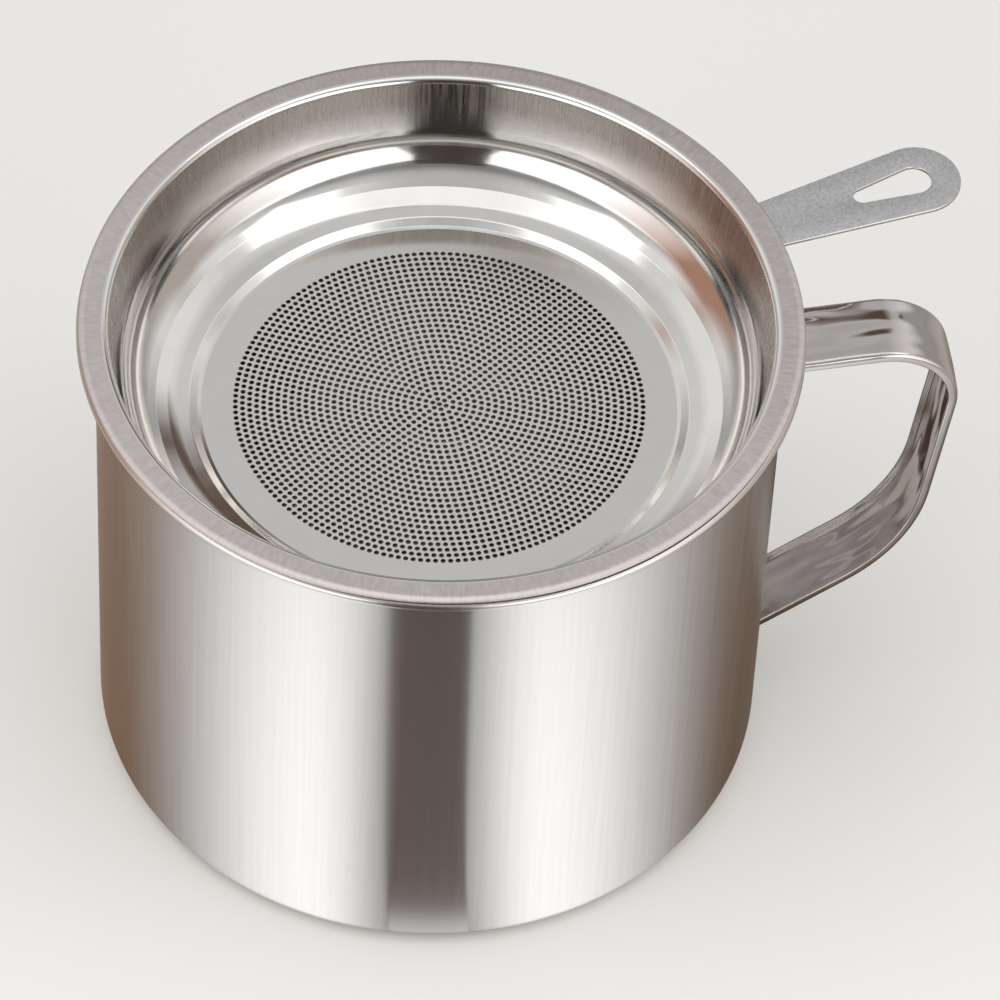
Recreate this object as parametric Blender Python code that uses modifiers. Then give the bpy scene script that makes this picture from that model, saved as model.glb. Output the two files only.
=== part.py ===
"""A bacon grease container: a stainless cup with a strap handle, and a strainer that sits in its mouth."""

import math

import bmesh
import bpy
from mathutils import Matrix, Vector

# Lengths are in metres. The cup stands on z = 0 with its axis on Z, and its handle points along +X.

# Room left between pieces that touch, how far cutters pass what they cut, and when two points are one
touch_gap = 0.0003
cut_overrun = 0.0009
merge_distance = 0.000001

# Cup: its rolled rim overhangs the wall, and the wall turns into a flat base
cup_outer_radius = 0.067
cup_height = 0.110
cup_sheet = 0.0006
base_inner_bend = 0.0044
mouth_bend = 0.0013
rim_overhang = 0.0036
rim_roll_bore = 0.0003

# Strainer: radii work inwards from the cup's, and depths run down from the flange's upper face
strainer_sheet = 0.0006
strainer_edge_round = 0.0002
strainer_play = 0.0013
flange_setback = 0.0006
strainer_lip_bend = 0.0015
strainer_wall_depth = 0.0175
strainer_wall_draft = 0.0028
strainer_shoulder_bend = 0.0075
shoulder_width = 0.0143
ring_depth = 0.0238
ring_step = 0.0008
ring_run = 0.0006
ring_bend = 0.0003
floor_margin = 0.0068
hole_radius = 0.0013
hole_pitch = 0.0063

# Tab of the strainer: a wedge whose edges point at the axis
tab_length = 0.0408
tab_tip_radius = 0.0087
tab_sheet = 0.0008
tab_slot_tip_margin = 0.0059
tab_slot_wide_radius = 0.0035
tab_slot_narrow_radius = 0.0018
tab_slot_length = 0.0166
tab_azimuth = math.radians(17)
tab_spot_radius = 0.0011

# Handle: the back of its strap, out from the wall, down from the rim or up from the base
handle_width = 0.0155
handle_sheet = 0.0008
handle_lip = 0.0020
handle_inner_round = 0.0003
handle_crown = 0.0003
handle_upper_root_drop = 0.0099
handle_corner_out = 0.0371
handle_corner_drop = 0.0064
handle_corner_bend = 0.015
handle_knee_out = 0.0298
handle_knee_height = 0.0430
handle_knee_bend = 0.038
handle_lower_root_height = 0.0204
handle_weld_radius = 0.0007

# Shares, turns and counts
spot_fill_share = 2 / 3
spot_place_share = 0.55
spot_spread_share = 0.55
handle_weld_share = 0.6
root_overrun_share = 0.1
roll_turn = math.radians(235)
roll_step = math.radians(30)
bend_step = math.radians(22)
handle_bend_step = math.radians(8)
section_step = math.radians(32)
tab_step = math.radians(9)
bead_step = math.radians(1)
bevel_angle = math.radians(60)
crease_angle = math.radians(40)
bevel_segments = 2
bead_resolution = 2
turn_steps = 56
wall_cutter_sides = 168
hole_sides = 6
spot_sides = 16

# Worked out from the sizes above
cup_middle_radius = cup_outer_radius - cup_sheet / 2
rim_roll_radius = rim_roll_bore + cup_sheet
rim_circle_radius = cup_outer_radius + rim_overhang - rim_roll_radius
flange_outer_radius = cup_outer_radius + rim_overhang - flange_setback
strainer_mouth_radius = cup_outer_radius - cup_sheet - strainer_play - strainer_sheet
wall_foot_radius = strainer_mouth_radius - strainer_wall_draft
ring_radius = wall_foot_radius - shoulder_width
perforated_radius = ring_radius - floor_margin
floor_depth = ring_depth + ring_step
seat_lift = tab_sheet + touch_gap
seat_height = cup_height + touch_gap + seat_lift / 2
seat_lean = math.asin(seat_lift / (2 * rim_circle_radius))
tab_reach = flange_outer_radius + tab_length
tab_tip_circle = tab_reach - tab_tip_radius
tab_half_angle = math.asin(tab_tip_radius / tab_tip_circle)
tab_root_radius = strainer_mouth_radius + strainer_lip_bend + touch_gap
handle_edge_round = handle_inner_round + handle_sheet
handle_corner = Vector((cup_outer_radius + handle_corner_out, cup_height - handle_corner_drop))
handle_knee = Vector((cup_outer_radius + handle_knee_out, handle_knee_height))


def clear_scene():
    for obj in list(bpy.data.objects):
        bpy.data.objects.remove(obj, do_unlink=True)


def make_collection(name):
    collection = bpy.data.collections.new(name)
    bpy.context.scene.collection.children.link(collection)
    return collection


def steel(name, colour, roughness):
    material = bpy.data.materials.new(name)
    material.use_nodes = True
    shader = material.node_tree.nodes["Principled BSDF"]
    shader.inputs["Base Color"].default_value = (*colour, 1)
    shader.inputs["Metallic"].default_value = 1
    shader.inputs["Roughness"].default_value = roughness
    return material


def add(name, data, collection, material=None, parent=None):
    obj = bpy.data.objects.new(name, data)
    collection.objects.link(obj)
    if material:
        data.materials.append(material)
    obj.parent = parent
    return obj


def add_cutter(name, mesh, parent=None):
    obj = add(name, mesh, cutters, parent=parent)
    obj.hide_render = True
    obj.display_type = "WIRE"
    return obj


def cut(obj, cutter):
    boolean = obj.modifiers.new("Cut", "BOOLEAN")
    boolean.operation = "DIFFERENCE"
    boolean.object = cutter


def arc(centre, radius, start, turn, step):
    """Points of a circle's arc in its plane, both ends included, no further apart than the step."""
    middle = Vector(centre)
    spoke = Vector((radius, 0))
    count = max(2, math.ceil(abs(turn) / step))
    return [middle + Matrix.Rotation(start + turn * i / count, 2) @ spoke for i in range(count + 1)]


def bent(corners, step=bend_step):
    """The path through (x, y, bend radius) corners, with an arc for each corner between the ends."""
    points = [Vector(corners[0][:2])]
    for before, corner, after in zip(corners, corners[1:], corners[2:]):
        at = Vector(corner[:2])
        back = (Vector(before[:2]) - at).normalized()
        ahead = (Vector(after[:2]) - at).normalized()
        turn = math.pi - back.angle(ahead)
        centre = at + (back + ahead).normalized() * corner[2] / math.cos(turn / 2)
        spoke = at + back * corner[2] * math.tan(turn / 2) - centre
        start = math.atan2(spoke.y, spoke.x)
        sense = 1 if ahead.x * back.y - ahead.y * back.x > 0 else -1
        points += arc(centre, corner[2], start, sense * turn, step)
    return points + [Vector(corners[-1][:2])]


def turned_sheet(name, path, sheet, material, parent=None):
    """A turned shell: the path is the middle of the sheet, from its rolled or cut edge to the axis."""
    mesh = bpy.data.meshes.new(name)
    mesh.from_pydata([(p.x, 0, p.y) for p in path], [(i, i + 1) for i in range(len(path) - 1)], [])
    obj = add(name, mesh, parts, material, parent)
    screw = obj.modifiers.new("Turn", "SCREW")
    screw.axis = "Z"
    screw.angle = 2 * math.pi
    screw.steps = turn_steps
    screw.render_steps = turn_steps
    screw.use_merge_vertices = True
    screw.merge_threshold = merge_distance
    screw.use_smooth_shade = True
    solidify = obj.modifiers.new("Sheet", "SOLIDIFY")
    solidify.thickness = sheet
    solidify.offset = 0
    solidify.use_even_offset = True
    return obj


def make_cup():
    """Drawn in one piece: rolled rim, short flared lip, straight wall, bent foot and flat base."""
    roll = arc(
        (rim_circle_radius, cup_height - rim_roll_radius),
        rim_roll_radius - cup_sheet / 2,
        math.pi / 2 - roll_turn,
        roll_turn,
        roll_step,
    )
    top = cup_height - cup_sheet / 2
    shell = bent([
        (*roll[-1], 0),
        (cup_middle_radius, top, mouth_bend - cup_sheet / 2),
        (cup_middle_radius, cup_sheet / 2, base_inner_bend + cup_sheet / 2),
        (0, cup_sheet / 2, 0),
    ])
    return turned_sheet("cup_body", roll + shell[1:], cup_sheet, satin)


def make_strainer_dish(seat):
    """Pressed in one piece: flange, brushed wall, polished shoulder, ring and perforated floor.

    Depths run down from the flange's upper face, and the seat is at its lower face.
    """
    half = strainer_sheet / 2
    inner = strainer_mouth_radius + half
    path = bent([
        (flange_outer_radius, half, 0),
        (inner, half, strainer_lip_bend - half),
        (wall_foot_radius + half, half - strainer_wall_depth, strainer_shoulder_bend + half),
        (ring_radius + ring_run / 2, half - ring_depth, ring_bend + half),
        (ring_radius - ring_run / 2, half - floor_depth, ring_bend + half),
        (0, half - floor_depth, 0),
    ])
    dish = turned_sheet("strainer_dish", path, strainer_sheet, polished, seat)
    edge = dish.modifiers.new("Edge", "BEVEL")
    edge.width = strainer_edge_round
    edge.segments = bevel_segments
    edge.limit_method = "ANGLE"
    edge.angle_limit = bevel_angle
    cut(dish, make_hole_cutter(seat))
    return dish


def hole_centres():
    """A staggered lattice of holes, kept inside the perforated circle."""
    row_pitch = hole_pitch * math.sin(math.pi / 3)
    rows = math.ceil(perforated_radius / row_pitch)
    columns = math.ceil(perforated_radius / hole_pitch)
    for row in range(-rows, rows + 1):
        for column in range(-columns, columns + 1):
            x = (column + (row % 2) / 2) * hole_pitch
            y = row * row_pitch
            if math.hypot(x, y) + hole_radius <= perforated_radius:
                yield x, y


def make_hole_cutter(seat):
    bm = bmesh.new()
    for x, y in hole_centres():
        bmesh.ops.create_cone(
            bm,
            cap_ends=True,
            segments=hole_sides,
            radius1=hole_radius,
            radius2=hole_radius,
            depth=strainer_sheet + 2 * cut_overrun,
            matrix=Matrix.Translation((x, y, strainer_sheet / 2 - floor_depth)),
        )
    mesh = bpy.data.meshes.new("hole_cutter")
    bm.to_mesh(mesh)
    bm.free()
    return add_cutter("hole_cutter", mesh, seat)


def add_spline(curve, points, closed=True):
    spline = curve.splines.new("POLY")
    spline.points.add(len(points) - 1)
    for place, point in zip(spline.points, points):
        place.co = (point[0], point[1], point[2] if len(point) > 2 else 0, 1)
    spline.use_cyclic_u = closed


def taper_outline(near, near_radius, far, far_radius):
    """The outline round two circles on one line, the far one the larger, in the plane of the tab."""
    lean = math.asin((far_radius - near_radius) / (far - near))
    half_turn = math.pi / 2 + lean
    far_end = arc((far, 0), far_radius, -half_turn, 2 * half_turn, tab_step)
    near_end = arc((near, 0), near_radius, half_turn, 2 * (math.pi - half_turn), 2 * tab_step)
    return far_end + near_end


def make_tab(seat):
    """A flat plate under the flange: a wedge with a round tip and a teardrop slot."""
    curve = bpy.data.curves.new("strainer_tab", "CURVE")
    curve.dimensions = "2D"
    curve.fill_mode = "BOTH"
    curve.extrude = tab_sheet / 2
    half_turn = math.pi / 2 + tab_half_angle
    tip = arc((tab_tip_circle, 0), tab_tip_radius, -half_turn, 2 * half_turn, tab_step)
    root = arc((0, 0), tab_root_radius, tab_half_angle, -2 * tab_half_angle, tab_step)
    add_spline(curve, tip + root)
    slot_far = tab_reach - tab_slot_tip_margin - tab_slot_wide_radius
    slot_near = tab_reach - tab_slot_tip_margin - tab_slot_length + tab_slot_narrow_radius
    add_spline(curve, taper_outline(slot_near, tab_slot_narrow_radius, slot_far, tab_slot_wide_radius))
    tab = add("strainer_tab", curve, parts, brushed, seat)
    tab.rotation_euler.z = tab_azimuth
    tab.location.z = -touch_gap - tab_sheet / 2
    return tab


def make_tab_spots(seat):
    """The spot welds that hold the tab under the flange, each a thin nugget between the two sheets."""
    spot_circle = tab_root_radius + spot_place_share * (flange_outer_radius - tab_root_radius)
    for name, side in (("tab_spot_weld_left", 1), ("tab_spot_weld_right", -1)):
        bm = bmesh.new()
        bmesh.ops.create_cone(
            bm,
            cap_ends=True,
            segments=spot_sides,
            radius1=tab_spot_radius,
            radius2=tab_spot_radius,
            depth=spot_fill_share * touch_gap,
        )
        mesh = bpy.data.meshes.new(name)
        bm.to_mesh(mesh)
        bm.free()
        spot = add(name, mesh, parts, weld, seat)
        bearing = tab_azimuth + side * spot_spread_share * tab_half_angle
        spot.location = (spot_circle * math.cos(bearing), spot_circle * math.sin(bearing), -touch_gap / 2)


def handle_section():
    """The strap's closed section: a crowned web across local y, with a lip along each edge towards +x."""
    half = handle_width / 2
    inner = half - handle_sheet
    quarter = math.pi / 2
    outer_edge = half - handle_edge_round
    return [
        Vector((handle_lip, -half)),
        *arc((handle_edge_round, -outer_edge), handle_edge_round, -quarter, -quarter, section_step),
        Vector((-handle_crown, 0)),
        *arc((handle_edge_round, outer_edge), handle_edge_round, math.pi, -quarter, section_step),
        Vector((handle_lip, half)),
        Vector((handle_lip, inner)),
        *arc((handle_edge_round, outer_edge), handle_inner_round, quarter, quarter, section_step),
        Vector((handle_sheet - handle_crown, 0)),
        *arc((handle_edge_round, -outer_edge), handle_inner_round, math.pi, quarter, section_step),
        Vector((handle_lip, -inner)),
    ]


def handle_roots():
    """Where the strap's back meets the wall and the direction in which it leaves, above and below."""
    upper = Vector((cup_outer_radius, cup_height - handle_upper_root_drop))
    lower = Vector((cup_outer_radius, handle_lower_root_height))
    return (upper, (handle_corner - upper).normalized()), (lower, (handle_knee - lower).normalized())


def make_handle():
    """A channel strap bent from the rim round to the foot of the wall, its ends cut to the wall."""
    (upper, upper_way), (lower, lower_way) = handle_roots()
    overrun = root_overrun_share * cup_outer_radius
    path = bent([
        (*(upper - upper_way * overrun), 0),
        (*handle_corner, handle_corner_bend),
        (*handle_knee, handle_knee_bend),
        (*(lower - lower_way * overrun), 0),
    ], handle_bend_step)
    section = bpy.data.curves.new("handle_section", "CURVE")
    section.dimensions = "2D"
    add_spline(section, handle_section())
    section_guide = add("handle_section", section, cutters)
    strap = bpy.data.curves.new("handle_path", "CURVE")
    strap.dimensions = "2D"
    strap.fill_mode = "NONE"
    strap.bevel_mode = "OBJECT"
    strap.bevel_object = section_guide
    strap.use_fill_caps = True
    add_spline(strap, path, closed=False)
    guide = add("handle_path", strap, parts)
    guide.rotation_euler.x = math.pi / 2
    bpy.context.view_layer.update()
    graph = bpy.context.evaluated_depsgraph_get()
    mesh = bpy.data.meshes.new_from_object(guide.evaluated_get(graph))
    mesh.name = "cup_handle"
    bm = bmesh.new()
    bm.from_mesh(mesh)
    bmesh.ops.remove_doubles(bm, verts=bm.verts, dist=merge_distance)
    bmesh.ops.recalc_face_normals(bm, faces=bm.faces)
    bm.to_mesh(mesh)
    bm.free()
    handle = add("cup_handle", mesh, parts, polished)
    handle.matrix_world = guide.matrix_world
    bpy.data.objects.remove(guide)
    bpy.data.objects.remove(section_guide)
    mesh.shade_smooth()
    mesh.set_sharp_from_angle(angle=crease_angle)
    cut(handle, make_wall_cutter())
    return handle


def make_wall_cutter():
    bm = bmesh.new()
    bmesh.ops.create_cone(
        bm,
        cap_ends=True,
        segments=wall_cutter_sides,
        radius1=cup_outer_radius + touch_gap,
        radius2=cup_outer_radius + touch_gap,
        depth=cup_height,
        matrix=Matrix.Translation((0, 0, cup_height / 2)),
    )
    mesh = bpy.data.meshes.new("wall_cutter")
    bm.to_mesh(mesh)
    bm.free()
    return add_cutter("wall_cutter", mesh)


def make_handle_welds():
    """A weld bead under the strap's web at each end, laid along the wall."""
    (upper, upper_way), (lower, lower_way) = handle_roots()
    inside = Vector((upper_way.y, -upper_way.x))
    outside = Vector((lower_way.y, -lower_way.x))
    beads = (
        ("handle_weld_upper", upper + inside * handle_sheet, inside),
        ("handle_weld_lower", lower + outside * handle_crown, outside),
    )
    clear = handle_weld_radius + touch_gap
    for name, face, normal in beads:
        radius = cup_outer_radius + clear
        height = face.y + (clear - (radius - face.x) * normal.x) / normal.y
        half_turn = handle_weld_share * handle_width / 2 / radius
        curve = bpy.data.curves.new(name, "CURVE")
        curve.dimensions = "3D"
        curve.bevel_depth = handle_weld_radius
        curve.bevel_resolution = bead_resolution
        curve.use_fill_caps = True
        run = arc((0, 0), radius, -half_turn, 2 * half_turn, bead_step)
        add_spline(curve, [(p.x, p.y, height) for p in run], closed=False)
        add(name, curve, parts, weld)


def make_seat():
    """The strainer's own frame on the rim. It leans: the tab lies across the rim, under the flange."""
    seat = add("strainer_seat", None, parts)
    lean_axis = Vector((math.sin(tab_azimuth), -math.cos(tab_azimuth), 0))
    lean = Matrix.Rotation(seat_lean, 4, lean_axis)
    seat.matrix_world = Matrix.Translation((0, 0, seat_height)) @ lean
    return seat


clear_scene()
parts = make_collection("bacon_grease_container")
cutters = make_collection("cutters")
satin = steel("satin stainless steel", (0.60, 0.58, 0.56), 0.28)
polished = steel("polished stainless steel", (0.66, 0.64, 0.62), 0.12)
brushed = steel("brushed stainless steel", (0.52, 0.51, 0.50), 0.42)
weld = steel("weld metal", (0.42, 0.41, 0.40), 0.5)
make_cup()
make_handle()
make_handle_welds()
strainer_seat = make_seat()
make_strainer_dish(strainer_seat)
make_tab(strainer_seat)
make_tab_spots(strainer_seat)
bpy.context.view_layer.update()
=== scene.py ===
import math

import bmesh
import bpy
from mathutils import Matrix, Vector
from mathutils.geometry import delaunay_2d_cdt


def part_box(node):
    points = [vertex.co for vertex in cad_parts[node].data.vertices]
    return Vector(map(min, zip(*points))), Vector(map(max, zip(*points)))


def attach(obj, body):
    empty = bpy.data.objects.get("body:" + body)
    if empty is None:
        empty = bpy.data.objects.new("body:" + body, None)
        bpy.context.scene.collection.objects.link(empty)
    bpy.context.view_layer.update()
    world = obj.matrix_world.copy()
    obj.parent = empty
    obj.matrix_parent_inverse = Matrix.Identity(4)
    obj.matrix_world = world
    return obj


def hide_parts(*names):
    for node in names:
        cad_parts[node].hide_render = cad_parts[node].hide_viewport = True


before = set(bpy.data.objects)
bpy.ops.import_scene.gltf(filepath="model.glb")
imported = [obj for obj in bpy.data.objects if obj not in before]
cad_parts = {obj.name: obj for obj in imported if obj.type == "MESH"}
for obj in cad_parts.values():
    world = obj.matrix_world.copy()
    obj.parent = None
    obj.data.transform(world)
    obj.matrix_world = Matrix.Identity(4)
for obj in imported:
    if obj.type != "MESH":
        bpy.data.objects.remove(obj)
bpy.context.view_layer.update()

mm = 0.001
sameSpot = 0.000001  # m, corners closer than this are one corner
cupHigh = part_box("cup_body")[1] / mm  # how far the cup reaches: its rim's radius along y, its height along z
bpy.context.scene.view_settings.view_transform = "Standard"
print("frame loaded")


# Colours are written as sRGB hex and used as linear values
def toLinear(hexColour):
    channels = [int(hexColour[i:i + 2], 16) / 255 for i in (1, 3, 5)]
    return tuple(c / 12.92 if c <= 0.04045 else ((c + 0.055) / 1.055) ** 2.4 for c in channels) + (1.0,)


# Adds one node with its settings, and fills its sockets with values or with other nodes' outputs
def addNode(tree, kind, inputs=None, **settings):
    node = tree.nodes.new(kind)
    for name, value in settings.items():
        setattr(node, name, value)
    for socket, value in (inputs or {}).items():
        if isinstance(value, bpy.types.NodeSocket):
            tree.links.new(value, node.inputs[socket])
        else:
            node.inputs[socket].default_value = value
    return node


def addObject(name, data, materials=()):
    made = bpy.data.objects.new(name, data)
    bpy.context.scene.collection.objects.link(made)
    for material in materials:
        data.materials.append(material)
    return made


# Makes an object of closed mesh, smooth but for edges over the angle
def meshObject(name, bm, sharpAngle, materials, place=Matrix()):
    bmesh.ops.remove_doubles(bm, verts=bm.verts, dist=sameSpot)
    bmesh.ops.recalc_face_normals(bm, faces=bm.faces)
    mesh = bpy.data.meshes.new(name)
    bm.to_mesh(mesh)
    bm.free()
    mesh.shade_smooth()
    mesh.set_sharp_from_angle(angle=math.radians(sharpAngle))
    made = addObject(name, mesh, materials)
    made.matrix_world = place
    return made


camera = {
    "lens": 234, "sensor": 36,  # mm, a long lens from far away
    "azimuth": -8, "elevation": 47.98, "distance": 1257.3,  # degrees and mm, about the rim's centre
    "rimDrop": 0.9,  # mm, the middle of the rim's roll is this far below the cup's top
    "pan": 0.513, "tilt": 1.512, "roll": -2.481,  # degrees, the photograph's framing
    "nearest": 0.05, "farthest": 50,  # m, what the camera sees lies between these
}


def makeCamera():
    rise = math.radians(camera["elevation"])
    back = Vector((0, -math.cos(rise), math.sin(rise)))
    right = Vector((1, 0, 0))
    aim = Matrix((right, back.cross(right), back)).transposed()
    framing = (
        Matrix.Rotation(math.radians(-camera["roll"]), 3, "Z")
        @ Matrix.Rotation(math.radians(-camera["pan"]), 3, "Y")
        @ Matrix.Rotation(math.radians(-camera["tilt"]), 3, "X")
    )
    data = bpy.data.cameras.new("photoCamera")
    data.lens = camera["lens"]
    data.sensor_width = camera["sensor"]
    data.clip_start = camera["nearest"]
    data.clip_end = camera["farthest"]
    made = addObject("photoCamera", data)
    rimCentre = Matrix.Translation((0, 0, (cupHigh.z - camera["rimDrop"]) * mm))
    swing = Matrix.Rotation(math.radians(camera["azimuth"]), 4, "Z")
    step = Matrix.Translation(back * camera["distance"] * mm)
    made.matrix_world = rimCentre @ swing @ step @ (aim @ framing).to_4x4()
    bpy.context.scene.camera = made


makeCamera()
print("camera placed")

studio = {
    "floorColour": "#e8e6e3", "floorSize": 6000,
    "floorShine": "#a89e96", "shineShare": 0.6,  # what polished steel sees of the floor, away from the fan
    # levels of the sky by its elevation in degrees, behind the object and over the camera
    "backSky": (
        (17, 0.34), (33, 0.72), (50, 0.70), (58, 0.60), (63, 0.66), (67, 0.76), (73, 0.72), (79, 0.32),
    ),
    "frontSky": ((17, 0.42), (33, 0.26), (48, 0.26), (60, 0.60), (68, 0.62), (78, 0.45)),
    "frontFrom": -0.1, "frontTo": 0.45,  # one gives way to the other as a ray leans to the camera
    "sideFrom": 0.15, "sideTo": 0.45, "sideLift": 1.4,  # it's brighter towards either side
    "boxWidth": 1500, "boxHeight": 900, "boxDistance": 950, "boxRise": 450, "boxTurn": 53, "boxPower": 5.8,
    "topWide": 1900, "topDeep": 650, "topHeight": 1300, "topBack": 25, "topTurn": 180, "topPower": 3.7,
    "aimHeight": 60,  # the softboxes face this height on the cup's axis
}


def makeFloor():
    half = studio["floorSize"] * mm / 2
    mesh = bpy.data.meshes.new("studioFloor")
    corners = [(-half, -half, 0), (half, -half, 0), (half, half, 0), (-half, half, 0)]
    mesh.from_pydata(corners, [], [(0, 1, 2, 3)])
    material = bpy.data.materials.new("matt floor paint")
    material.use_nodes = True
    tree = material.node_tree
    tree.nodes.clear()
    paint = addNode(tree, "ShaderNodeBsdfDiffuse", {"Color": toLinear(studio["floorColour"])})
    glow = addNode(tree, "ShaderNodeEmission", {"Color": toLinear(studio["floorShine"]), "Strength": 1.0})
    ray = addNode(tree, "ShaderNodeLightPath")
    share = addNode(tree, "ShaderNodeMath", {0: ray.outputs["Is Glossy Ray"], 1: studio["shineShare"]},
                    operation="MULTIPLY").outputs[0]
    mixed = addNode(tree, "ShaderNodeMixShader", {0: share, 1: paint.outputs[0], 2: glow.outputs[0]})
    addNode(tree, "ShaderNodeOutputMaterial", {"Surface": mixed.outputs[0]})
    addObject("studioFloor", mesh, [material])


# The sky is paler behind the object than over the camera, so that the steel has something to show
def makeSky():
    world = bpy.data.worlds.new("studioSky")
    bpy.context.scene.world = world
    world.use_nodes = True
    tree = world.node_tree
    tree.nodes.clear()
    way = addNode(tree, "ShaderNodeTexCoord").outputs["Generated"]
    rise = addNode(tree, "ShaderNodeSeparateXYZ", {0: way}).outputs["Z"]
    skies = []
    for levels in (studio["backSky"], studio["frontSky"]):
        ramp = addNode(tree, "ShaderNodeValToRGB", {0: rise})
        bands = ramp.color_ramp.elements
        bands.remove(bands[1])
        for i, (elevation, level) in enumerate(levels):
            height = math.sin(math.radians(elevation))
            band = bands.new(height) if i else bands[0]
            band.position = height
            band.color = (level, level, level, 1)
        skies.append(ramp.outputs["Color"])
    heading = math.radians(camera["azimuth"])
    front = addNode(tree, "ShaderNodeVectorMath", {0: way, 1: (math.sin(heading), -math.cos(heading), 0)},
                    operation="DOT_PRODUCT").outputs["Value"]
    share = addNode(tree, "ShaderNodeMapRange", {
        0: front, 1: studio["frontFrom"], 2: studio["frontTo"], 3: 0.0, 4: 1.0,
    }).outputs[0]
    mixed = addNode(tree, "ShaderNodeMix", {0: share, 6: skies[0], 7: skies[1]}, data_type="RGBA")
    side = addNode(tree, "ShaderNodeVectorMath", {0: way, 1: (math.cos(heading), math.sin(heading), 0)},
                   operation="DOT_PRODUCT").outputs["Value"]
    off = addNode(tree, "ShaderNodeMath", {0: side}, operation="ABSOLUTE").outputs[0]
    lift = addNode(tree, "ShaderNodeMapRange", {
        0: off, 1: studio["sideFrom"], 2: studio["sideTo"], 3: 1.0, 4: studio["sideLift"],
    }).outputs[0]
    sky = addNode(tree, "ShaderNodeBackground", {"Color": mixed.outputs[2], "Strength": lift})
    addNode(tree, "ShaderNodeOutputWorld", {"Surface": sky.outputs[0]})


def makeSoftbox(name, turn, distance, rise, width, height, power):
    data = bpy.data.lights.new(name, "AREA")
    data.shape = "RECTANGLE"
    data.size = width * mm
    data.size_y = height * mm
    data.energy = power
    lamp = addObject(name, data)
    bearing = math.radians(camera["azimuth"] + turn)
    lamp.location = Vector((math.sin(bearing) * distance, -math.cos(bearing) * distance, rise)) * mm
    aim = Vector((0, 0, studio["aimHeight"] * mm))
    lamp.rotation_mode = "QUATERNION"
    lamp.rotation_quaternion = (aim - lamp.location).to_track_quat("-Z", "Y")


def makeLights():
    for name, side in (("softboxLeft", -1), ("softboxRight", 1)):
        makeSoftbox(name, side * studio["boxTurn"], studio["boxDistance"], studio["boxRise"],
                    studio["boxWidth"], studio["boxHeight"], studio["boxPower"])
    makeSoftbox("softboxTop", studio["topTurn"], studio["topBack"], studio["topHeight"],
                studio["topWide"], studio["topDeep"], studio["topPower"])


fan = {
    "peak": 20, "inner": 12, "outer": 23,  # degrees on the wall either side of the camera's way
    "low": 0.15, "leftLow": 0.36, "high": 1.46, "sideTint": "#ecc09c", "tintFrom": 44, "tintTo": 62,
    "slotFrom": -6.6, "slotTo": 7.0, "slotColour": "#6e635f", "lean": 2.2, "standColour": "#4c4744",
    "heel": 7, "heelLevel": 0.75,  # the slot starts this far from the wall, in mm
    "edge": 84, "step": 3, "inside": 0.001,  # each sector takes its colours just inside its edges
    "wallInset": 3.6,  # the rim stands out from the wall by this much
    "reach": (0, 95, 240), "slotReach": 800, "slotHeight": 950,  # mm from the wall
    "lift": 0.5, "slotLift": 0.3,  # mm above the floor
}


# A place on the floor: from the wall at an angle, out the way that the wall sends the camera's view
def wallReach(share, reach):
    wall = cupHigh.y - fan["wallInset"]
    foot = math.radians(camera["azimuth"] + share)
    way = math.radians(camera["azimuth"] + 2 * share)
    spot = Vector((math.sin(foot), -math.cos(foot))) * wall + Vector((math.sin(way), -math.cos(way))) * reach
    return Vector((spot.x, spot.y, fan["lift"])) * mm


# The fan's colour at an angle on the wall: a glow either side, sides that get dark and warm but stay
# lighter at the left, and between the slot's edges the dark slot, or an even level at its heel
def fanColour(share, slotted):
    if fan["slotFrom"] < share < fan["slotTo"]:
        return toLinear(fan["slotColour"])[:3] if slotted else [fan["heelLevel"]] * 3
    off = abs(share) - fan["peak"]
    spread = fan["outer"] if off > 0 else fan["inner"]
    low = fan["low"] + (fan["leftLow"] - fan["low"]) * (max(0, -share) / fan["edge"]) ** 3
    level = low + (fan["high"] - low) * math.exp(-(off / spread) ** 2)
    tinted = (abs(share) - fan["tintFrom"]) / (fan["tintTo"] - fan["tintFrom"])
    tinted = max(0, min(1, tinted))
    return [level * (1 - tinted + tinted * c) for c in toLinear(fan["sideTint"])[:3]]


# A card that only the steel's reflections show; its colours, with a fade, belong to its corners
def makeCard(name, corners, faces, colours):
    mesh = bpy.data.meshes.new(name)
    mesh.from_pydata(corners, [], faces)
    glow = mesh.color_attributes.new("glow", "FLOAT_COLOR", "CORNER")
    for place, colour in zip(glow.data, colours):
        place.color = colour
    material = bpy.data.materials.new(name)
    material.use_nodes = True
    tree = material.node_tree
    tree.nodes.clear()
    tint = addNode(tree, "ShaderNodeAttribute", attribute_name="glow")
    card = addNode(tree, "ShaderNodeEmission", {"Color": tint.outputs["Color"], "Strength": 1.0})
    clear = addNode(tree, "ShaderNodeBsdfTransparent")
    fade = tint.outputs["Alpha"]
    faded = addNode(tree, "ShaderNodeMixShader", {0: fade, 1: clear.outputs[0], 2: card.outputs[0]})
    addNode(tree, "ShaderNodeOutputMaterial", {"Surface": faded.outputs[0]})
    made = addObject(name, mesh, [material])
    for ray in ("camera", "diffuse", "transmission", "volume_scatter", "shadow"):
        setattr(made, "visible_" + ray, False)


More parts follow.
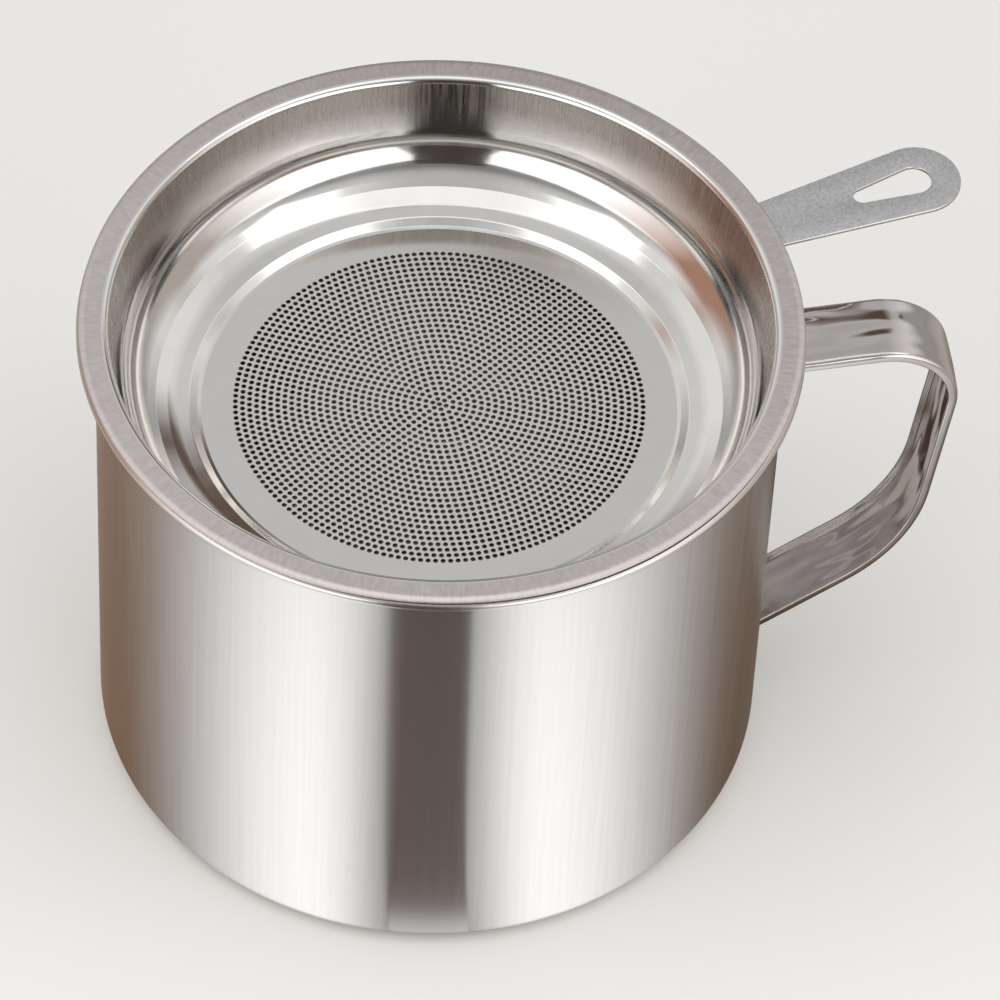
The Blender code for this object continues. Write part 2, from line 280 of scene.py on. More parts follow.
# A fan of graded card on the floor round the front of the cup, as the light pools there; each sector
# has a strip at the wall, one up to its waist and one that fades out to its hem
def makeFan():
    edges = {-fan["edge"] + i * fan["step"] for i in range(2 * fan["edge"] // fan["step"] + 1)}
    edges = sorted(edges | {fan["slotFrom"], fan["slotTo"]})
    near, middle, far = fan["reach"]
    corners = []
    faces = []
    colours = []
    for left, right in zip(edges, edges[1:]):
        inside = (right - left) * fan["inside"]
        foot = [wallReach(share + fan["lean"], near) for share in (left, right)]
        waist = [wallReach(share, middle) for share in (left, right)]
        heel = [f + (w - f) * fan["heel"] / (middle - near) for f, w in zip(foot, waist)]
        hem = [w + (w - f) * (far - middle) / (middle - near) for f, w in zip(foot, waist)]
        first = len(corners)
        corners += foot + heel + waist + hem
        for row, (slotted, fades) in enumerate(((False, (1, 1)), (True, (1, 1)), (True, (1, 0)))):
            corner = first + 2 * row
            faces.append((corner, corner + 1, corner + 3, corner + 2))
            shades = [fanColour(left + inside, slotted), fanColour(right - inside, slotted)]
            colours += [(*shades[0], fades[0]), (*shades[1], fades[0])]
            colours += [(*shades[1], fades[1]), (*shades[0], fades[1])]
    makeCard("floorFan", corners, faces, colours)


# The slot goes on as a dark card that runs out under the camera and stands up between the softboxes
def makeSlot():
    near, middle, _ = fan["reach"]
    waist = [wallReach(share, middle) for share in (fan["slotFrom"], fan["slotTo"])]
    foot = [wallReach(share + fan["lean"], near) for share in (fan["slotFrom"], fan["slotTo"])]
    hem = [w + (w - f) * (fan["slotReach"] - middle) / middle for f, w in zip(foot, waist)]
    top = [Vector((h.x, h.y, fan["slotHeight"] * mm)) for h in hem]
    lower = [Vector((w.x, w.y, fan["slotLift"] * mm)) for w in waist]
    colour = (*toLinear(fan["standColour"])[:3], 1)
    makeCard("slotCard", lower + hem + top, [(0, 1, 3, 2), (2, 3, 5, 4)], [colour] * 8)


# Cards for single reflections, in mm: one on the floor and a strip that stands, both for the handle's
# web, a bright post for its lower run, and a wing before each softbox's outer end, at degrees from the
# camera's way
cards = {
    "shadeX": (86, 94, 110, 118), "shadeY": (4, 20, 125, 175), "shadeSlant": 0.37, "shadeZ": 0.4,
    "shadeColour": "#4a3a32",
    "stripX": (0, 60, 170, 225), "stripY": 300, "stripZ": (240, 290, 345, 400), "stripColour": "#6a574c",
    "postX": (270, 300, 350, 400), "postY": 900, "postZ": (1, 80, 420, 600), "postColour": "#ffffff",
    "wingTurn": (48, 92, 110, 128), "wingReach": 880, "wingZ": (1, 30, 720, 1000),
    "wingColours": ("#b98f7a", "#c2bab2"),
}


# A card of three by three fields that fades out over its outer ones
def makeFadedCard(name, spots, colour):
    fades = [1 if i in (1, 2) and j in (1, 2) else 0 for j in range(4) for i in range(4)]
    faces = [(4 * j + i, 4 * j + i + 1, 4 * j + i + 5, 4 * j + i + 4) for j in range(3) for i in range(3)]
    shade = toLinear(colour)[:3]
    makeCard(name, spots, faces, [(*shade, fades[corner]) for face in faces for corner in face])


def makeCards():
    spots = [Vector((x - cards["shadeSlant"] * y, y, cards["shadeZ"])) * mm
             for y in cards["shadeY"] for x in cards["shadeX"]]
    makeFadedCard("shadeCard", spots, cards["shadeColour"])
    for name in ("strip", "post"):
        spots = [Vector((x, cards[name + "Y"], z)) * mm
                 for z in cards[name + "Z"] for x in cards[name + "X"]]
        makeFadedCard(name + "Card", spots, cards[name + "Colour"])
    for name, side, colour in zip(("wingLeft", "wingRight"), (-1, 1), cards["wingColours"]):
        bearings = [math.radians(camera["azimuth"] + side * turn) for turn in cards["wingTurn"]]
        ways = [Vector((math.sin(bearing), -math.cos(bearing), 0)) for bearing in bearings]
        spots = [(way * cards["wingReach"] + Vector((0, 0, z))) * mm
                 for z in cards["wingZ"] for way in ways]
        makeFadedCard(name, spots, colour)


makeFloor()
makeSky()
makeLights()
makeFan()
makeSlot()
makeCards()
print("studio lit")


# Points of an arc, and a path that turns each (x, y, bend radius) corner into an arc
def arc(centre, radius, start, turn, step):
    count = max(2, math.ceil(abs(turn) / math.radians(step)))
    spoke = Vector((radius, 0))
    return [Vector(centre) + Matrix.Rotation(start + turn * i / count, 2) @ spoke for i in range(count + 1)]


# Just beside each arc stands a support point, which keeps the shading of the straight stretch straight
def bent(corners, step, support=0.25):
    points = [Vector(corners[0][:2])]
    for before, corner, after in zip(corners, corners[1:], corners[2:]):
        at = Vector(corner[:2])
        back = (Vector(before[:2]) - at).normalized()
        ahead = (Vector(after[:2]) - at).normalized()
        turn = math.pi - back.angle(ahead)
        centre = at + (back + ahead).normalized() * corner[2] / math.cos(turn / 2)
        reach = corner[2] * math.tan(turn / 2)
        spoke = at + back * reach - centre
        sense = 1 if ahead.x * back.y - ahead.y * back.x > 0 else -1
        points.append(at + back * (reach + support))
        points += arc(centre, corner[2], math.atan2(spoke.y, spoke.x), sense * turn, step)
        points.append(at + ahead * (reach + support))
    return points + [Vector(corners[-1][:2])]


def circle(centre, radius, sides):
    return arc(centre, radius, 0, 2 * math.pi, 360 / sides)[:-1]


sheetEdge = {"mitre": 0.3, "endStep": 30}  # keeps a sharp corner's mitre short; degrees round a cut edge


# The outline of sheet metal along a path: both faces, with the cut edge at the path's start rounded off
def sheetOutline(path, sheet):
    half = sheet / 2
    sides = []
    for i, spot in enumerate(path):
        before = (spot - path[i - 1]).normalized() if i else (path[1] - spot).normalized()
        after = (path[i + 1] - spot).normalized() if i < len(path) - 1 else before
        ahead = (before + after).normalized()
        reach = half / max(sheetEdge["mitre"], ahead.dot(before))
        sides.append((spot - ahead.orthogonal() * reach, spot + ahead.orthogonal() * reach))
    edge = sides[0][0] - path[0]
    start = math.atan2(edge.y, edge.x)
    ahead = path[1] - path[0]
    sense = -1 if edge.x * ahead.y - edge.y * ahead.x > 0 else 1
    end = arc(path[0], half, start, sense * math.pi, sheetEdge["endStep"])
    return [left for left, _ in reversed(sides)] + end[1:-1] + [right for _, right in sides]


# Fills the first loop (mm) with triangles, and leaves the others, which bulge all round, open
def fillPlate(bm, loops, height):
    points = []
    edges = []
    owner = []
    for number, loop in enumerate(loops):
        first = len(points)
        points += loop
        owner += [number] * len(loop)
        edges += [(first + i, first + (i + 1) % len(loop)) for i in range(len(loop))]
    placed = [bm.verts.new((p.x * mm, p.y * mm, height * mm)) for p in points]
    for face in delaunay_2d_cdt(points, edges, [], 1, 0.00001)[2]:
        if {owner[i] for i in face} == {0} or len({owner[i] for i in face}) > 1:
            bm.faces.new([placed[i] for i in face])
    return placed, edges


# Plate metal between two heights: both faces, and the walls of its loops, or of its holes only
def addPlate(bm, loops, low, high, holesOnly=False):
    bottom, edges = fillPlate(bm, loops, low)
    top, _ = fillPlate(bm, loops, high)
    for a, b in edges[len(loops[0]) if holesOnly else 0:]:
        bm.faces.new((bottom[a], bottom[b], top[b], top[a]))


# Turns an outline of (radius, height) points in mm about the axis; a point on the axis closes it
def turnOutline(bm, outline, steps):
    rings = []
    for point in outline:
        if point.x < 0.001:
            rings.append([bm.verts.new((0, 0, point.y * mm))])
            continue
        angles = [2 * math.pi * i / steps for i in range(steps)]
        rings.append([bm.verts.new(Vector((math.cos(a) * point.x, math.sin(a) * point.x, point.y)) * mm)
                      for a in angles])
    for ring, following in zip(rings, rings[1:]):
        for i in range(steps):
            j = (i + 1) % steps
            near = [ring[0]] if len(ring) == 1 else [ring[i], ring[j]]
            far = [following[0]] if len(following) == 1 else [following[j], following[i]]
            bm.faces.new(near + far)


# Gives each face the material that a rule names for its middle and its way, in mm
def finishFaces(made, rule):
    for face in made.data.polygons:
        face.material_index = rule(face.center / mm, face.normal)


# The stroked colour, darker and warmer than the pressed one on the same sheet, is a painted dark reflection
steelColours = {
    "satin": "#dbd9d7", "buffed": "#dcd8d4", "spun": "#c6c2be", "flange": "#cdc6c4",
    "strokedWithReflection": "#b4aca6", "pressed": "#dbd9d6", "mirror": "#c6c1be", "tumbled": "#c8c8c9",
    "bead": "#b9b2a9", "beadTint": "#9c7a55",
}


# Noise on a turned surface, so that it has no seam: its sizes in mm around the axis, at a radius, and
# across that, up the height or out along the radius
def turnedNoise(tree, radius, around, across, axis, detail=2.0):
    place = addNode(tree, "ShaderNodeTexCoord").outputs["Object"]
    flat = addNode(tree, "ShaderNodeVectorMath", {0: place, 1: (1, 1, 0)}, operation="MULTIPLY").outputs[0]
    spoke = addNode(tree, "ShaderNodeVectorMath", {0: flat}, operation="NORMALIZE").outputs[0]
    wide = addNode(tree, "ShaderNodeVectorMath", {0: spoke, "Scale": radius / around},
                   operation="SCALE").outputs[0]
    if axis == "height":
        reach = addNode(tree, "ShaderNodeSeparateXYZ", {0: place}).outputs["Z"]
    else:
        reach = addNode(tree, "ShaderNodeVectorMath", {0: flat}, operation="LENGTH").outputs["Value"]
    deep = addNode(tree, "ShaderNodeMath", {0: reach, 1: 1 / (across * mm)}, operation="MULTIPLY").outputs[0]
    rise = addNode(tree, "ShaderNodeCombineXYZ", {"Z": deep}).outputs[0]
    spot = addNode(tree, "ShaderNodeVectorMath", {0: wide, 1: rise}, operation="ADD").outputs[0]
    return addNode(tree, "ShaderNodeTexNoise", {"Vector": spot, "Scale": 1.0, "Detail": detail}
                   ).outputs["Fac"]


# Noise in mm that is the same size in all directions, but for a stretch along some of them
def evenNoise(tree, size, detail=2.0, stretch=(1, 1, 1)):
    place = addNode(tree, "ShaderNodeTexCoord").outputs["Object"]
    drawn = addNode(tree, "ShaderNodeVectorMath", {0: place, 1: stretch}, operation="DIVIDE").outputs[0]
    return addNode(tree, "ShaderNodeTexNoise", {"Vector": drawn, "Scale": 1 / (size * mm), "Detail": detail}
                   ).outputs["Fac"]


# How far a place is up between two heights in mm, the higher one first
def shareUp(tree, high, low):
    place = addNode(tree, "ShaderNodeTexCoord").outputs["Object"]
    rise = addNode(tree, "ShaderNodeSeparateXYZ", {0: place}).outputs["Z"]
    return addNode(tree, "ShaderNodeMapRange", {0: rise, 1: low * mm, 2: high * mm, 3: 0.0, 4: 1.0}
                   ).outputs[0]


# Lets a pattern fade to an even value down the strainer's wall
def fadeDown(tree, value, rest):
    share = shareUp(tree, *strainer["strokeAndReflectionFade"])
    return addNode(tree, "ShaderNodeMix", {0: share, 2: rest, 3: value}, data_type="FLOAT").outputs[0]


# Noise lies mostly about its middle, so these parts of it drive the full run of roughness and of tint
grain = {"roughFrom": 0.25, "roughTo": 0.75, "tintFrom": 0.3, "tintTo": 0.7}


# A steel shader: a pattern drives its roughness between two values and darkens it by up to the shade,
# and a second pattern is its relief, of a depth in mm
def steelShader(name, colour, roughness, pattern, relief, depth, shade=0.06):
    material = bpy.data.materials.new(name)
    material.use_nodes = True
    tree = material.node_tree
    shader = tree.nodes["Principled BSDF"]
    shader.inputs["Metallic"].default_value = 1.0
    lines = pattern(tree)
    rough = addNode(tree, "ShaderNodeMapRange", {
        0: lines, 1: grain["roughFrom"], 2: grain["roughTo"], 3: roughness[0], 4: roughness[1],
    })
    tree.links.new(rough.outputs[0], shader.inputs["Roughness"])
    bright = toLinear(colour)
    dark = tuple(c * (1 - shade) for c in bright[:3]) + (1.0,)
    tint = addNode(tree, "ShaderNodeMapRange", {
        0: lines, 1: grain["tintFrom"], 2: grain["tintTo"], 3: 0.0, 4: 1.0,
    }).outputs[0]
    mixed = addNode(tree, "ShaderNodeMix", {0: tint, 6: dark, 7: bright}, data_type="RGBA")
    tree.links.new(mixed.outputs[2], shader.inputs["Base Color"])
    bump = addNode(tree, "ShaderNodeBump", {"Height": relief(tree), "Distance": depth * mm, "Strength": 1.0})
    tree.links.new(bump.outputs[0], shader.inputs["Normal"])
    return material, tree, shader


# Lays the gloss across brush lines that run round the axis, or along them
def drawOutGloss(tree, shader, amount, turn):
    line = addNode(tree, "ShaderNodeTangent", direction_type="RADIAL", axis="Z")
    tree.links.new(line.outputs[0], shader.inputs["Tangent"])
    shader.inputs["Anisotropic"].default_value = amount
    shader.inputs["Anisotropic Rotation"].default_value = turn


cup = {
    "sheet": 0.6, "rimOverhang": 3.6, "rollBore": 0.3, "rollTurn": 235, "mouthBend": 1.3, "footBend": 4.4,
    "turnSteps": 192, "bendStep": 10, "rollStep": 18, "sharpAngle": 40,
    "spunShare": 0.3,  # the spun finish goes up this share of the foot's bend
    "buffDepth": 2.6,  # the buffed one goes down this far from the top
}


# Satin polished stainless: the eye gets soft light drawn out up the wall, crisp from side to side. Its
# relief is lines round the wall at about 0.35 mm and its gloss has streaks 0.8 mm wide, both drawn coarser
# than real brush lines of 0.1 mm or less, so that they show
def satinStainless():
    material, tree, shader = steelShader(
        "satin polished stainless", steelColours["satin"], roughness=(0.205, 0.235),
        pattern=lambda t: turnedNoise(t, radius=67, around=0.8, across=60, axis="height", detail=3.0),
        relief=lambda t: turnedNoise(t, radius=67, around=40, across=0.35, axis="height"),
        depth=0.001, shade=0.05)
    drawOutGloss(tree, shader, amount=1.0, turn=0.25)
    return material


# Buffed stainless: the rolled bead is rubbed bright, with hairlines round it that are drawn at
# 0.25 to 0.4 mm, coarser than the real ones, so that they show
def buffedStainless():
    material, tree, shader = steelShader(
        "buffed rolled stainless", steelColours["buffed"], roughness=(0.20, 0.28),
        pattern=lambda t: turnedNoise(t, radius=70, around=6, across=0.4, axis="height"),
        relief=lambda t: turnedNoise(t, radius=70, around=25, across=0.25, axis="height"),
        depth=0.001)
    drawOutGloss(tree, shader, amount=0.5, turn=0.25)
    return material


# Spun stainless: the base's rings from polishing on a lathe give a fan of light about the centre. At
# 0.45 to 0.8 mm they are drawn coarser than the real ones
def spunStainless():
    material, tree, shader = steelShader(
        "lathe spun stainless", steelColours["spun"], roughness=(0.24, 0.36),
        pattern=lambda t: turnedNoise(t, radius=40, around=60, across=0.8, axis="radius"),
        relief=lambda t: turnedNoise(t, radius=40, around=80, across=0.45, axis="radius"),
        depth=0.003)
    drawOutGloss(tree, shader, amount=0.8, turn=0.25)
    return material


def makeCup():
    half = cup["sheet"] / 2
    rollRadius = cup["rollBore"] + cup["sheet"]
    wall = cupHigh.y - cup["rimOverhang"] - half
    turn = math.radians(cup["rollTurn"])
    roll = arc((cupHigh.y - rollRadius, cupHigh.z - rollRadius), rollRadius - half, math.pi / 2 - turn, turn,
               cup["rollStep"])
    shell = bent([
        (*roll[-1], 0),
        (wall, cupHigh.z - half, cup["mouthBend"] - half),
        (wall, half, cup["footBend"] + half),
        (0, half, 0),
    ], cup["bendStep"])
    bm = bmesh.new()
    turnOutline(bm, sheetOutline(roll + shell[1:], cup["sheet"]), cup["turnSteps"])
    made = meshObject("cupBody", bm, cup["sharpAngle"],
                      [satinStainless(), buffedStainless(), spunStainless()])

    def rule(at, _):
        reach = math.hypot(at.x, at.y)
        if at.z < cup["footBend"] * cup["spunShare"] or reach < wall - cup["footBend"]:
            return 2
        return 1 if at.z > cupHigh.z - cup["buffDepth"] and reach > wall else 0

    finishFaces(made, rule)
    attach(made, "cup")
    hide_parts("cup_body")


makeCup()
print("cup turned")

strainer = {
    "sheet": 0.6, "play": 1.3, "flangeSetback": 0.6, "lipBend": 1.5, "wallDepth": 17.5, "draft": 2.8,
    "shoulderBend": 12,
    "strokeTop": -0.35, "strokeAndReflectionFade": (-5, -12),  # heights at which the wall's strokes and its painted dark reflection start, fade and end
    "strokeReach": 0.2,  # and how far inside the wall's foot they go
    "flangeMargin": 0.9,  # the brushed flange starts this far beyond the lip's bend
    # the shoulder runs on through these corners: radius, depth and bend
    "shoulder": (
        (55.6, 21.5, 0.7), (52.3, 22.8, 12), (49.1, 23.45, 0.5), (47.5, 24.4, 0.5), (46.7, 24.6, 0.3),
    ),
    "edgeDroop": 0.25, "edgeWidth": 0.9, "edgeBend": 2,
    "turnSteps": 192, "bendStep": 6, "support": 0.05, "sharpAngle": 40,
    "floorEdge": 45.5, "holeSize": 1.05, "holeSides": 8,
    "holeRings": 29, "ringPitch": 1.378, "ringHoles": 6, "ringTurn": 37.3,  # each ring has six holes more
}
seat = {"gap": 0.3, "tabSheet": 0.8, "tabTurn": 17, "rimRoll": 0.9}  # mm and degrees


# The strainer leans a little in the cup, because its tab lies over the rim on one side
def seatPlace():
    lift = seat["gap"] + seat["tabSheet"]
    lean = math.asin(lift / (2 * (cupHigh.y - seat["rimRoll"])))
    turn = math.radians(seat["tabTurn"])
    height = cupHigh.z + seat["gap"] + lift / 2
    hinge = Vector((math.sin(turn), -math.cos(turn), 0))
    return Matrix.Translation((0, 0, height * mm)) @ Matrix.Rotation(lean, 4, hinge)


# Matt flange: short brush strokes that point at the axis, which scatter an even grey. They are about
# 2.5 mm long, and drawn 0.35 to 0.5 mm wide, coarser than real, so that they show
def flangeStainless():
    material, tree, shader = steelShader(
        "radially brushed stainless", steelColours["flange"], roughness=(0.34, 0.46),
        pattern=lambda t: turnedNoise(t, radius=68, around=0.5, across=2.2, axis="radius", detail=3.0),
        relief=lambda t: turnedNoise(t, radius=68, around=0.35, across=2.5, axis="radius", detail=3.0),
        depth=0.003, shade=0.17)
    drawOutGloss(tree, shader, amount=0.6, turn=0.0)
    return material


# Stroked wall: short brush marks up and down, left by the belt that took out the press lines, drawn
# 0.45 to 0.5 mm wide, coarser than real. Its darker, warmer tone is a painted dark reflection, strongest at
# the top of the wall and fading down to the pressed colour
def strokedReflectionStainless():
    material, tree, shader = steelShader(
        "belt stroked stainless", steelColours["strokedWithReflection"], roughness=(0.11, 0.40),
        pattern=lambda t: fadeDown(
            t, turnedNoise(t, radius=64, around=0.5, across=14, axis="height"), rest=0.25),
        relief=lambda t: fadeDown(
            t, turnedNoise(t, radius=64, around=0.45, across=16, axis="height"), rest=0.5),
        depth=0.0008, shade=0.09)
    strokedWithReflection = shader.inputs["Base Color"].links[0].from_socket
    # at the top of the wall the base colour is the darker stroked one, a painted dark reflection, which fades
    # down to the pressed colour
    mixed = addNode(tree, "ShaderNodeMix", {
        0: shareUp(tree, *strainer["strokeAndReflectionFade"]), 6: toLinear(steelColours["pressed"]), 7: strokedWithReflection,
    }, data_type="RGBA")
    tree.links.new(mixed.outputs[2], shader.inputs["Base Color"])
    return material


# Pressed stainless: bright from the polished press tool, with a slight swell and faint rubbed patches
def pressedStainless():
    return steelShader(
        "pressed polished stainless", steelColours["pressed"], roughness=(0.075, 0.125),
        pattern=lambda t: evenNoise(t, size=4.5, detail=4.0),
        relief=lambda t: turnedNoise(t, radius=55, around=26, across=14, axis="radius", detail=1.0),
        depth=0.05, shade=0.04)[0]


# The holes stand in rings about one in the middle, and all rings start on one spoke
def holeCentres():
    yield Vector((0, 0))
    for ring in range(1, strainer["holeRings"] + 1):
        count = ring * strainer["ringHoles"]
        yield from arc((0, 0), ring * strainer["ringPitch"], math.radians(strainer["ringTurn"]),
                       2 * math.pi, 360 / count)[:count]


# The radius of the flange's edge, and of the strainer's mouth inside its wall
def strainerReach():
    edge = cupHigh.y - strainer["flangeSetback"]
    mouth = cupHigh.y - cup["rimOverhang"] - cup["sheet"] - strainer["play"] - strainer["sheet"]
    return edge, mouth


def makeStrainerDish():
    half = strainer["sheet"] / 2
    edge, mouth = strainerReach()
    foot = mouth - strainer["draft"]
    floor = half - strainer["shoulder"][-1][1]
    path = bent([
        (edge, half - strainer["edgeDroop"], 0),
        (edge - strainer["edgeWidth"], half, strainer["edgeBend"]),
        (mouth + half, half, strainer["lipBend"] - half),
        (foot + half, half - strainer["wallDepth"], strainer["shoulderBend"] + half),
        *[(radius, half - depth, bend) for radius, depth, bend in strainer["shoulder"]],
        (strainer["floorEdge"], floor, 0),
    ], strainer["bendStep"], strainer["support"])
    holes = [circle(spot, strainer["holeSize"] / 2, strainer["holeSides"]) for spot in holeCentres()]
    bm = bmesh.new()
    turnOutline(bm, sheetOutline(path, strainer["sheet"]), strainer["turnSteps"])
    addPlate(bm, [circle((0, 0), strainer["floorEdge"], strainer["turnSteps"])] + holes,
             floor - half, floor + half, holesOnly=True)
    made = meshObject("strainerDish", bm, strainer["sharpAngle"],
                      [pressedStainless(), flangeStainless(), strokedReflectionStainless()], seatPlace())

    def rule(at, _):
        reach = math.hypot(at.x, at.y)
        if reach > mouth + strainer["lipBend"] + strainer["flangeMargin"]:
            return 1
        # faces in the wall's band of strokes and painted dark reflection
        strokedWithReflection = strainer["strokeAndReflectionFade"][1] < at.z < strainer["strokeTop"]
        return 2 if strokedWithReflection and reach > foot - strainer["strokeReach"] else 0

    finishFaces(made, rule)
    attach(made, "strainer")
    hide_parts("strainer_dish")
    print("strainer floor has", len(holes), "holes")


makeStrainerDish()
print("strainer pressed")

tab = {
    "length": 40.8, "tipRadius": 8.7, "slotMargin": 5.9, "slotWide": 3.5, "slotNarrow": 1.8,
    "slotLength": 16.6, "rootGap": 0.3, "step": 4, "rootStep": 1, "sharpAngle": 30,
    "edge": 0.2, "edgeSteps": 3, "cutAngle": 60,  # every edge over this angle is a cut one, and gets rounded
    "flatShare": 0.95,  # a face that looks up or down by more than this belongs to the sheet's own faces
}


# Tumbled stainless: a fine even pit from the tumbling drum, so it's matt and grey. The pits are drawn at
# 0.4 to 0.55 mm, coarser than real ones, so that they show
def tumbledStainless():
    return steelShader(
        "tumbled matt stainless", steelColours["tumbled"], roughness=(0.52, 0.66),
        pattern=lambda t: evenNoise(t, size=0.55, detail=4.0),
        relief=lambda t: evenNoise(t, size=0.4, detail=3.0),
        depth=0.02, shade=0.3)[0]


# Sheared edges are brighter, because tumbling rubs them; their tearing is drawn as coarse as the pits
def shearedStainless():
    return steelShader(
        "rubbed sheared stainless", steelColours["buffed"], roughness=(0.2, 0.34),
        pattern=lambda t: evenNoise(t, size=0.6, detail=3.0),
        relief=lambda t: evenNoise(t, size=0.3, detail=3.0),
        depth=0.003)[0]


# The outline round two circles on one line, the far one the larger
def taperOutline(near, nearRadius, far, farRadius):
    lean = math.asin((farRadius - nearRadius) / (far - near))
    halfTurn = math.pi / 2 + lean
    farEnd = arc((far, 0), farRadius, -halfTurn, 2 * halfTurn, tab["step"])
    nearEnd = arc((near, 0), nearRadius, halfTurn, 2 * (math.pi - halfTurn), 2 * tab["step"])
    return farEnd + nearEnd


def makeTab():
    edge, mouth = strainerReach()
    reach = edge + tab["length"]
    tipCircle = reach - tab["tipRadius"]
    halfAngle = math.asin(tab["tipRadius"] / tipCircle)
    halfTurn = math.pi / 2 + halfAngle
    tip = arc((tipCircle, 0), tab["tipRadius"], -halfTurn, 2 * halfTurn, tab["step"])
    rootReach = mouth + strainer["lipBend"] + tab["rootGap"]
    root = arc((0, 0), rootReach, halfAngle, -2 * halfAngle, tab["rootStep"])
    far = reach - tab["slotMargin"] - tab["slotWide"]
    near = reach - tab["slotMargin"] - tab["slotLength"] + tab["slotNarrow"]
    outlines = [tip + root, taperOutline(near, tab["slotNarrow"], far, tab["slotWide"])]
    bm = bmesh.new()
    addPlate(bm, outlines, -seat["tabSheet"] / 2, seat["tabSheet"] / 2)
    bmesh.ops.recalc_face_normals(bm, faces=bm.faces)
    cutAngle = math.radians(tab["cutAngle"])
    cutEdges = [e for e in bm.edges if e.is_manifold and e.calc_face_angle() > cutAngle]
    bmesh.ops.bevel(bm, geom=cutEdges, offset=tab["edge"] * mm, segments=tab["edgeSteps"], profile=0.5,
                    affect="EDGES")
    turned = seatPlace() @ Matrix.Rotation(math.radians(seat["tabTurn"]), 4, "Z")
    drop = -(seat["gap"] + seat["tabSheet"] / 2) * mm
    made = meshObject("strainerTab", bm, tab["sharpAngle"], [tumbledStainless(), shearedStainless()],
                      turned @ Matrix.Translation((0, 0, drop)))
    finishFaces(made, lambda _, way: 0 if abs(way.z) > tab["flatShare"] else 1)
    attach(made, "strainer")
    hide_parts("strainer_tab")


makeTab()
print("tab cut")

handle = {
    "width": 15.5, "sheet": 0.8, "lip": 2.0, "innerRound": 0.3, "lipRound": 0.3, "crown": 0.3,
    "crownBend": 110, "upperRootDrop": 9.9, "cornerOut": 37.1, "cornerDrop": 6.4, "cornerBend": 15,
    "kneeOut": 29.8, "kneeHeight": 43.0, "kneeBend": 38, "lowerRootHeight": 20.4,
    "gap": 0.3, "bendStep": 2.5, "sectionStep": 15, "support": 0.02, "sharpAngle": 35,
}


# Mirror rolled stainless: strip that was bright before it was bent, so reflections are sharp but sway
def mirrorStainless():
    return steelShader(
        "mirror rolled stainless", steelColours["mirror"], roughness=(0.05, 0.10),
        pattern=lambda t: evenNoise(t, size=5, detail=4.0),
        relief=lambda t: evenNoise(t, size=6, detail=1.0, stretch=(3, 1, 3)),
        depth=0.8)[0]


# The strap's section: a crowned web across y, with a lip along each edge towards +x
def handleSection():
    half = handle["width"] / 2
    inner = half - handle["sheet"]
    lip = handle["lip"]
    outerRound = handle["innerRound"] + handle["sheet"]
    crown = handle["crown"]
    middle = (half + inner) / 2
    corners = [
        (lip, -middle, 0), (lip, -half, handle["lipRound"]), (0, -half, outerRound),
        (-crown, 0, handle["crownBend"]),
        (0, half, outerRound), (lip, half, handle["lipRound"]), (lip, inner, handle["lipRound"]),
        (handle["sheet"], inner, handle["innerRound"]), (handle["sheet"] - crown, 0, handle["crownBend"]),
        (handle["sheet"], -inner, handle["innerRound"]), (lip, -inner, handle["lipRound"]), (lip, -middle, 0),
    ]
    return bent(corners, handle["sectionStep"], handle["support"])[:-1]


def makeHandle():
    wall = cupHigh.y - cup["rimOverhang"]
    upper = Vector((wall, cupHigh.z - handle["upperRootDrop"]))
    lower = Vector((wall, handle["lowerRootHeight"]))
    corner = (wall + handle["cornerOut"], cupHigh.z - handle["cornerDrop"], handle["cornerBend"])
    knee = (wall + handle["kneeOut"], handle["kneeHeight"], handle["kneeBend"])
    path = bent([(*upper, 0), corner, knee, (*lower, 0)], handle["bendStep"])
    section = handleSection()
    bm = bmesh.new()
    rings = []
    last = len(path) - 1
    for i, spot in enumerate(path):
        way = (path[min(i + 1, last)] - path[max(i - 1, 0)]).normalized()
        inward = Vector((way.y, -way.x))
        ring = []
        for part in section:
            at = spot + inward * part.x
            if i in (0, last):
                # each end is trimmed to the round of the wall
                face = math.sqrt((wall + handle["gap"]) ** 2 - part.y ** 2)
                at += way * (face - at.x) / way.x
            ring.append(bm.verts.new(Vector((at.x, part.y, at.y)) * mm))
        rings.append(ring)
    count = len(section)
    for ring, following in zip(rings, rings[1:]):
        for i in range(count):
            j = (i + 1) % count
            bm.faces.new((ring[i], ring[j], following[j], following[i]))
    bm.faces.new(reversed(rings[0]))
    bm.faces.new(rings[-1])
    made = meshObject("cupHandle", bm, handle["sharpAngle"], [mirrorStainless()])
    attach(made, "cup")
    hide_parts("cup_handle")
    return upper, lower, Vector(corner[:2]), Vector(knee[:2])


handleLines = makeHandle()
print("handle bent")

weld = {
    "radius": 0.7, "spread": 4.65, "gap": 0.3, "ripple": 0.85, "rippleDepth": 0.22, "taper": 0.9,
    "step": 0.08, "sides": 18, "sharpAngle": 50,
    "tip": 0.04,  # the bead's ends keep this share of its section
    "patch": 1.6, "patchFrom": 0.45, "patchTo": 0.65, "patchShare": 0.7,  # the browned patches
}


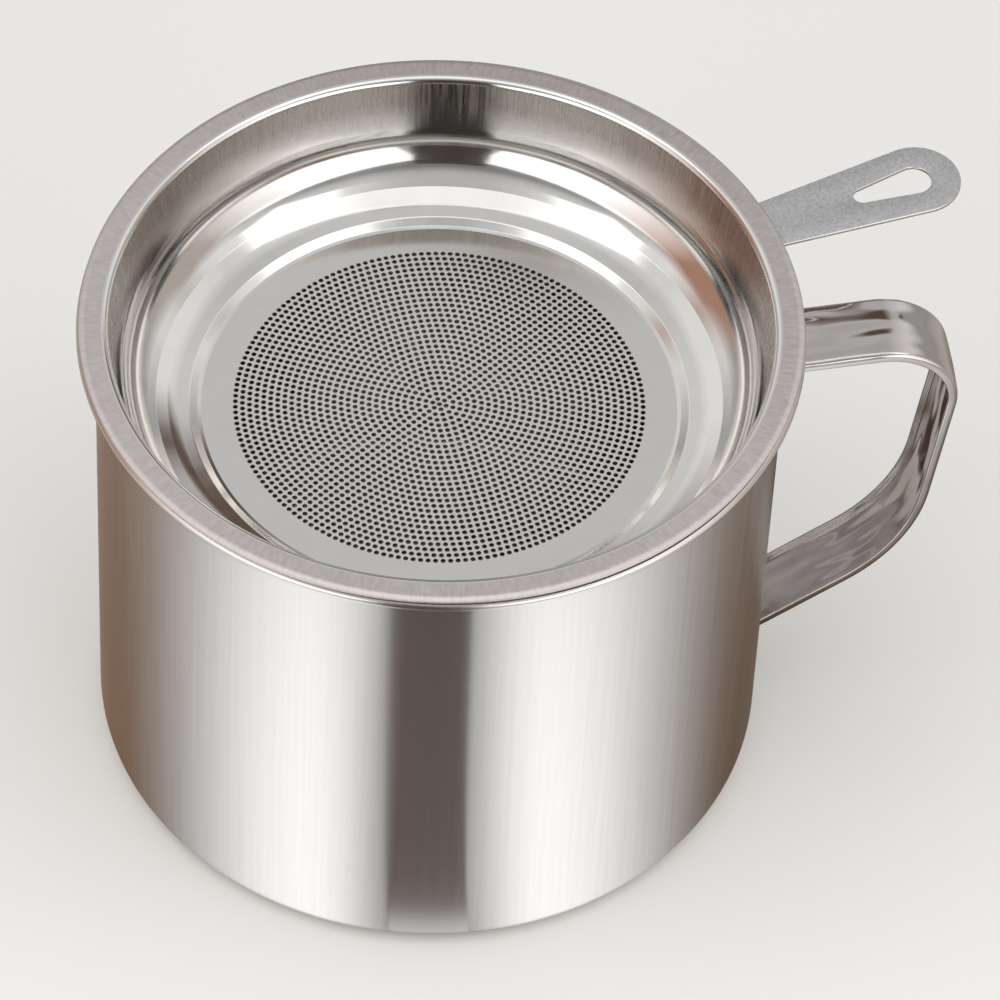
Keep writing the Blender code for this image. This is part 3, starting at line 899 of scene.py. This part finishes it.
# Weld bead: the stacked ripples of a hand weld, browned here and there by the heat
def beadStainless():
    material, tree, shader = steelShader(
        "TIG weld bead stainless", steelColours["bead"], roughness=(0.26, 0.42),
        pattern=lambda t: evenNoise(t, size=0.9, detail=3.0),
        relief=lambda t: evenNoise(t, size=0.3, detail=3.0),
        depth=0.01)
    patches = addNode(tree, "ShaderNodeMapRange", {
        0: evenNoise(tree, weld["patch"]), 1: weld["patchFrom"], 2: weld["patchTo"],
        3: 0.0, 4: weld["patchShare"],
    }).outputs[0]
    steel = shader.inputs["Base Color"].links[0].from_socket
    brown = toLinear(steelColours["beadTint"])
    mixed = addNode(tree, "ShaderNodeMix", {0: patches, 6: steel, 7: brown}, data_type="RGBA")
    tree.links.new(mixed.outputs[2], shader.inputs["Base Color"])
    return material


# A bead along the wall, beside the strap's web: each ripple swells, then drops off to the next
def makeWeld(name, node, face, beside, steel):
    clear = weld["radius"] + weld["gap"]
    reach = cupHigh.y - cup["rimOverhang"] + clear
    height = face.y + (clear - (reach - face.x) * beside.x) / beside.y
    count = round(2 * weld["spread"] / weld["step"])
    bm = bmesh.new()
    rings = []
    for i in range(count + 1):
        along = weld["spread"] * (2 * i / count - 1)
        wave = (along / weld["ripple"]) % 1
        left = max(0, weld["spread"] - abs(along)) / weld["taper"]
        fullness = math.sqrt(min(1, weld["tip"] + left)) * (1 - weld["rippleDepth"] * wave * wave)
        out = Vector((math.cos(along / reach), math.sin(along / reach), 0))
        spokes = circle((0, 0), weld["radius"] * fullness, weld["sides"])
        rings.append([bm.verts.new((out * (reach + spoke.x) + Vector((0, 0, height + spoke.y))) * mm)
                      for spoke in spokes])
    for ring, following in zip(rings, rings[1:]):
        for j in range(weld["sides"]):
            k = (j + 1) % weld["sides"]
            bm.faces.new((ring[j], ring[k], following[k], following[j]))
    bm.faces.new(reversed(rings[0]))
    bm.faces.new(rings[-1])
    made = meshObject(name, bm, weld["sharpAngle"], [steel])
    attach(made, "cup")
    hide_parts(node)


def makeWelds():
    steel = beadStainless()
    upper, lower, corner, knee = handleLines
    way = (corner - upper).normalized()
    under = Vector((way.y, -way.x))
    makeWeld("handleWeldUpper", "handle_weld_upper", upper + under * handle["sheet"], under, steel)
    way = (knee - lower).normalized()
    below = Vector((way.y, -way.x))
    makeWeld("handleWeldLower", "handle_weld_lower", lower + below * handle["crown"], below, steel)
    for node in ("tab_spot_weld_left", "tab_spot_weld_right"):
        solid = bpy.data.objects[node]
        solid.data.materials.clear()
        solid.data.materials.append(steel)


makeWelds()
print("welds laid")
